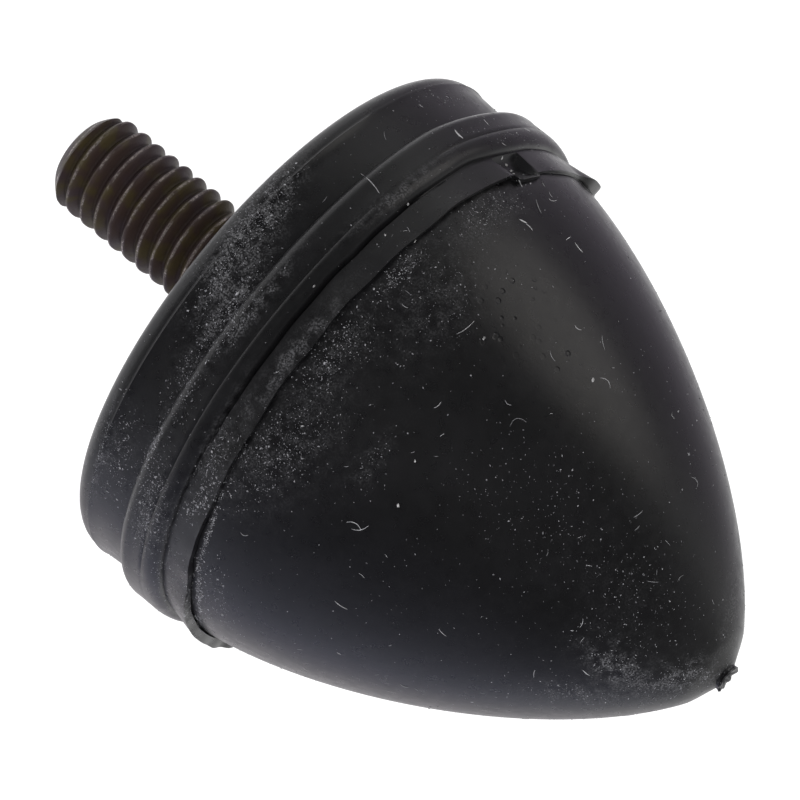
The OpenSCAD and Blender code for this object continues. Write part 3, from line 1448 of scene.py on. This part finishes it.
@dataclass
class DustCoat:
    """Dust grains, lint fibres and small torn chips that lie on the rubber."""

    skin: Skin
    sizes: CadSizes
    grain_finish: DustFinish = DustFinish("pale_dust", (0.07, 0.07, 0.075), (0.56, 0.56, 0.58))
    lint_finish: DustFinish = DustFinish("white_lint", (0.22, 0.22, 0.23), (0.78, 0.78, 0.79))
    chip_finish: DustFinish = DustFinish("torn_rubber", (0.20, 0.20, 0.20), (0.70, 0.69, 0.68))
    seed: int = 7
    side_room: float = 0.03
    top_room: float = 0.06
    end_room: float = 0.4
    stray_grains: int = 2600
    stray_grain_w: float = 0.045
    stray_fibres: int = 150
    stray_fibre_w: float = 0.022
    stray_fibre_len: float = 0.16
    fibre_steps: int = 9
    fibre_sides: int = 5

    def __post_init__(self) -> None:
        """Starts the random source."""
        self.draw = np.random.default_rng(self.seed)

    def inside(self, seat: Seat | None) -> bool:
        """Tells whether a grain may lie at a place without leaving the part's box.

        Args:
            seat: The place, or None beside the rubber.

        Returns:
            True where it may.
        """
        if seat is None:
            return False
        across = max(abs(seat.point.x), abs(seat.point.y))
        below = seat.point.z < self.sizes.body_top - self.top_room
        return below and across < self.sizes.bead_r - self.side_room

    def stray_seat(self) -> Seat | None:
        """Draws a place anywhere on the outside."""
        azimuth = self.draw.uniform(-math.pi, math.pi)
        return self.skin.at(azimuth, self.draw.uniform(self.end_room, self.sizes.body_top - self.end_room))

    def grain(self, seat: Seat, width: float) -> np.ndarray:
        """Makes the points of one grain.

        Args:
            seat: Where it lies.
            width: Its usual width.

        Returns:
            Six points: four round its waist, its top and its foot.
        """
        axes = seat.frame(self.draw.uniform(0, math.tau))
        stretch = self.draw.uniform(1.0, 1.7)
        reach = 0.5 * width * np.array([stretch, 1 / stretch, stretch, 1 / stretch, 0.7, 0.6])
        reach *= self.draw.uniform(0.75, 1.25, 6)
        arms = np.array([axes[0], axes[1], -axes[0], -axes[1], axes[2], -axes[2]])
        return np.array(seat.point) + arms * reach[:, None]

    def build_grains(self) -> None:
        """Makes the dust grains of every patch and the stray ones."""
        shell = ShellMesh()
        faces = [(i, (i + 1) % 4, 4) for i in range(4)] + [((i + 1) % 4, i, 5) for i in range(4)]
        for patch in DUST_PATCHES.values():
            for pixel in patch.spread(self.draw):
                seat = self.skin.under_pixel(pixel)
                width = patch.grain * self.draw.lognormal(0.0, 0.42)
                if self.inside(seat):
                    shell.add_solid(self.grain(seat, width), faces)
        for _ in range(self.stray_grains):
            seat = self.stray_seat()
            width = self.stray_grain_w * self.draw.lognormal(0.0, 0.4)
            if self.inside(seat):
                shell.add_solid(self.grain(seat, width), faces)
        carry(shell.build(Piece.SPECKS.value, self.grain_finish.build(), crease=180.0))

    def fibre_rings(self, seats: Sequence[Seat], width: float) -> list[np.ndarray]:
        """Makes a thin tube with pointed ends along places on the skin.

        Args:
            seats: Places along the fibre.
            width: Its width.

        Returns:
            Rings from one end to the other.
        """
        lift = 0.35 * width
        path = [seat.point + seat.normal * lift for seat in seats]
        turns = np.linspace(0, math.tau, self.fibre_sides, endpoint=False)
        rings = []
        for index, seat in enumerate(seats):
            ahead = path[min(index + 1, len(path) - 1)] - path[max(index - 1, 0)]
            side = ahead.normalized().cross(seat.normal).normalized()
            up = side.cross(ahead.normalized())
            taper = 0.5 * width * (0.55 + 0.45 * math.sin(math.pi * index / (len(seats) - 1)))
            spokes = np.outer(np.cos(turns), up) + np.outer(np.sin(turns), side)
            rings.append(np.array(path[index]) + taper * spokes)
        first = np.array([path[0] - (path[1] - path[0]).normalized() * width])
        last = np.array([path[-1] + (path[-1] - path[-2]).normalized() * width])
        return [first, *rings, last]

    def stray_path(self) -> list[Seat] | None:
        """Draws the places of one short stray fibre.

        Returns:
            Places along it, or None where it would leave the part's box.
        """
        middle = self.stray_seat()
        length = self.stray_fibre_len * self.draw.lognormal(0.2, 0.4)
        bow = self.draw.normal(0.0, 0.05)
        turn = self.draw.uniform(0, math.tau)
        if not self.inside(middle):
            return None
        axes = middle.frame(turn)
        shares = np.linspace(-1, 1, self.fibre_steps)
        reach = Vector(axes[0]) * (0.5 * length)
        rise = Vector(axes[1]) * (bow * length)
        places = [middle.point + reach * share + rise * (1 - share**2) for share in shares]
        seats = [self.skin.nearest(place) for place in places]
        return seats if all(self.inside(seat) for seat in seats) else None

    def build_fibres(self) -> None:
        """Makes the fibres that the photograph shows and the stray ones."""
        shell = ShellMesh()
        for fibre in FIBRES:
            seats = [self.skin.under_pixel(pixel) for pixel in fibre.pixels(self.fibre_steps)]
            if all(self.inside(seat) for seat in seats):
                shell.add_rings(self.fibre_rings(seats, fibre.width))
        for _ in range(self.stray_fibres):
            seats = self.stray_path()
            if seats is not None:
                shell.add_rings(self.fibre_rings(seats, self.stray_fibre_w))
        carry(shell.build(Piece.FIBRES.value, self.lint_finish.build(), crease=180.0))

    def build_chips(self) -> None:
        """Makes the larger flakes and the frayed bits at the torn lip."""
        shell = ShellMesh()
        around = np.linspace(0, math.tau, 9, endpoint=False)
        for pixel, width in CHIPS.values():
            seat = self.skin.under_pixel(pixel)
            axes = seat.frame(self.draw.uniform(0, math.tau))
            outline = 0.5 * width * self.draw.uniform(0.6, 1.25, len(around))
            rings = []
            for level, share in ((-0.25, 0.7), (0.05, 1.0), (0.3, 0.65)):
                flat = np.outer(np.cos(around) * outline * share * 1.3, axes[0])
                flat += np.outer(np.sin(around) * outline * share * 0.8, axes[1])
                rings.append(np.array(seat.point) + flat + axes[2] * level * width)
            foot = np.array([seat.point]) - axes[2] * 0.3 * width
            tip = np.array([seat.point]) + axes[2] * 0.36 * width
            shell.add_rings([foot, *rings, tip])
        carry(shell.build(Piece.CHIPS.value, self.chip_finish.build(), crease=30.0))

    def build(self) -> None:
        """Makes grains, fibres and chips, in this order of draws."""
        self.build_grains()
        self.build_fibres()
        self.build_chips()


@dataclass(frozen=True)
class ShadeCard:
    """Soft-edged dark card of the studio, which only reflections and light see.

    Attributes:
        name: Name of the card.
        towards: Direction from the part to its middle.
        inner: Degrees from the middle that are fully shaded.
        outer: Degrees at which the shade has faded out.
        cover: Share of the light that it takes away in the middle.
        colour: Colour of its surface.
        distance: Distance from the part in metres.
    """

    name: str
    towards: Triple
    inner: float
    outer: float
    cover: float
    colour: Triple
    distance: float

    def build(self) -> None:
        """Makes the card as part of a sphere round the part."""
        turns = np.linspace(0, math.tau, 64, endpoint=False)
        rings = [axis_point(self.distance)]
        for angle in np.radians(np.linspace(3, self.outer, 24)):
            rings.append(round_ring(turns, self.distance * math.sin(angle), self.distance * math.cos(angle)))
        shell = ShellMesh()
        shell.add_rings(rings)
        card = shell.build(self.name, self.material(), scale=1.0)
        card.rotation_mode = "QUATERNION"
        card.rotation_quaternion = Vector(self.towards).to_track_quat("Z", "Y")
        card.visible_camera = False

    def material(self) -> bpy.types.Material:
        """Makes the card's surface, which fades out towards its rim.

        Returns:
            The material.
        """
        graph = ShaderGraph(self.name)
        split = graph.add("ShaderNodeSeparateXYZ")
        graph.feed(split.inputs[0], graph.place)
        start, stop = (self.distance * math.cos(math.radians(angle)) for angle in (self.outer, self.inner))
        share = graph.remap(split.outputs["Z"], start, stop, 0.0, self.cover)
        clear = graph.surface("ShaderNodeBsdfTransparent")
        return graph.close(graph.mix(share, clear, graph.surface("ShaderNodeEmission", Color=self.colour)))


@dataclass(frozen=True)
class SoftLamp:
    """Round softbox that points at the part.

    Attributes:
        name: Name of the lamp.
        place: Its place in metres.
        size: Its diameter in metres.
        watts: Its power.
        tint: Colour of its light.
        mirrored: Whether gloss shows it. A lamp behind a polarising sheet lights without a reflection.
    """

    name: str
    place: Triple
    size: float
    watts: float
    tint: Triple = (1.0, 1.0, 1.0)
    mirrored: bool = True

    def build(self) -> None:
        """Makes the lamp."""
        light = bpy.data.lights.new(self.name, "AREA")
        light.shape = "DISK"
        light.size = self.size
        light.energy = self.watts
        light.color = self.tint
        lamp = bpy.data.objects.new(self.name, light)
        lamp.location = self.place
        lamp.rotation_mode = "QUATERNION"
        lamp.rotation_quaternion = (-Vector(self.place)).to_track_quat("-Z", "Y")
        lamp.visible_camera = False
        lamp.visible_glossy = self.mirrored
        link(lamp)


@dataclass
class Studio:
    """White surroundings, pale floor, soft lamps and shading cards."""

    sizes: CadSizes
    floor_drop: float = 560.0
    floor_r: float = 6.0
    floor_white: float = 0.82
    floor_glow: float = 0.45
    surround: float = 0.9
    lamps: tuple[SoftLamp, ...] = (
        SoftLamp("soft_key", (-0.455, -0.10, 0.185), 0.36, 0.27, (1.0, 0.96, 0.92)),
        SoftLamp("front_fill", (0.03, -0.58, 0.30), 0.60, 2.8, mirrored=False),
        SoftLamp("low_fill", (0.55, -0.35, 0.0), 0.50, 1.4, (0.92, 0.90, 1.0), mirrored=False),
    )
    cards: tuple[ShadeCard, ...] = (
        ShadeCard("front_card", (0.05, -0.90, 0.44), 35, 150, 0.94, (0.03, 0.03, 0.032), 0.9),
        ShadeCard("left_flag", (-0.85, 0.50, 0.0), 15, 50, 0.8, (0.16, 0.12, 0.19), 0.95),
        ShadeCard("side_card", (0.95, 0.10, 0.30), 15, 60, 0.45, (0.25, 0.30, 0.70), 1.0),
        ShadeCard("back_card", (0.52, 0.82, -0.25), 12, 42, 0.5, (0.45, 0.39, 0.45), 1.05),
    )

    def floor_paint(self) -> bpy.types.Material:
        """Makes the floor's paint, which is clear from below.

        Returns:
            The material.
        """
        graph = ShaderGraph("pale_floor")
        shades = [(self.floor_white * share,) * 3 for share in (0.995, 1.0)]
        paint = graph.surface("ShaderNodeBsdfDiffuse", Color=graph.blend(graph.noise(40.0, 2.0), *shades))
        strength = graph.maths("MULTIPLY", graph.shown(), self.floor_glow)
        both = graph.add("ShaderNodeAddShader")
        graph.feed(both.inputs[0], paint)
        graph.feed(both.inputs[1], graph.surface("ShaderNodeEmission", Strength=strength))
        below = graph.add("ShaderNodeNewGeometry").outputs["Backfacing"]
        return graph.close(graph.mix(below, both.outputs[0], graph.surface("ShaderNodeBsdfTransparent")))

    def build_floor(self) -> None:
        """Makes the pale floor."""
        turns = np.linspace(0, math.tau, 96, endpoint=False)
        shell = ShellMesh()
        rim = round_ring(turns, self.floor_r / MM, self.sizes.stud_tip - self.floor_drop)
        shell.add_solid(rim, [tuple(range(len(turns)))])
        floor = shell.build("pale_floor", self.floor_paint())

    def build_surround(self) -> None:
        """Makes the white surroundings, full white where they are seen."""
        graph = ShaderGraph("white_surround", world=True)
        level = graph.remap(graph.shown(), 0.0, 1.0, self.surround, 1.0)
        light = graph.surface("ShaderNodeBackground", Color=(1.0, 1.0, 1.0), Strength=level)
        bpy.context.scene.world = graph.close(light)

    def build(self) -> None:
        """Makes everything that stands round the part."""
        bpy.context.scene.view_settings.view_transform = "Standard"
        self.build_floor()
        self.build_surround()
        for lamp in self.lamps:
            lamp.build()
        for card in self.cards:
            card.build()


def main() -> None:
    """Builds the camera, the studio and the part's pieces in order."""
    logging.basicConfig(level=logging.INFO, format="%(name)s: %(message)s")
    sizes = CadSizes.from_frame()
    view = PhotoView()
    view.build()
    Studio(sizes).build()
    skin = RubberBody(sizes, view).build()
    ThreadedStud(sizes).build()
    BasePlate().dress()
    DustCoat(skin, sizes).build()


if __name__ == "__main__":
    main()
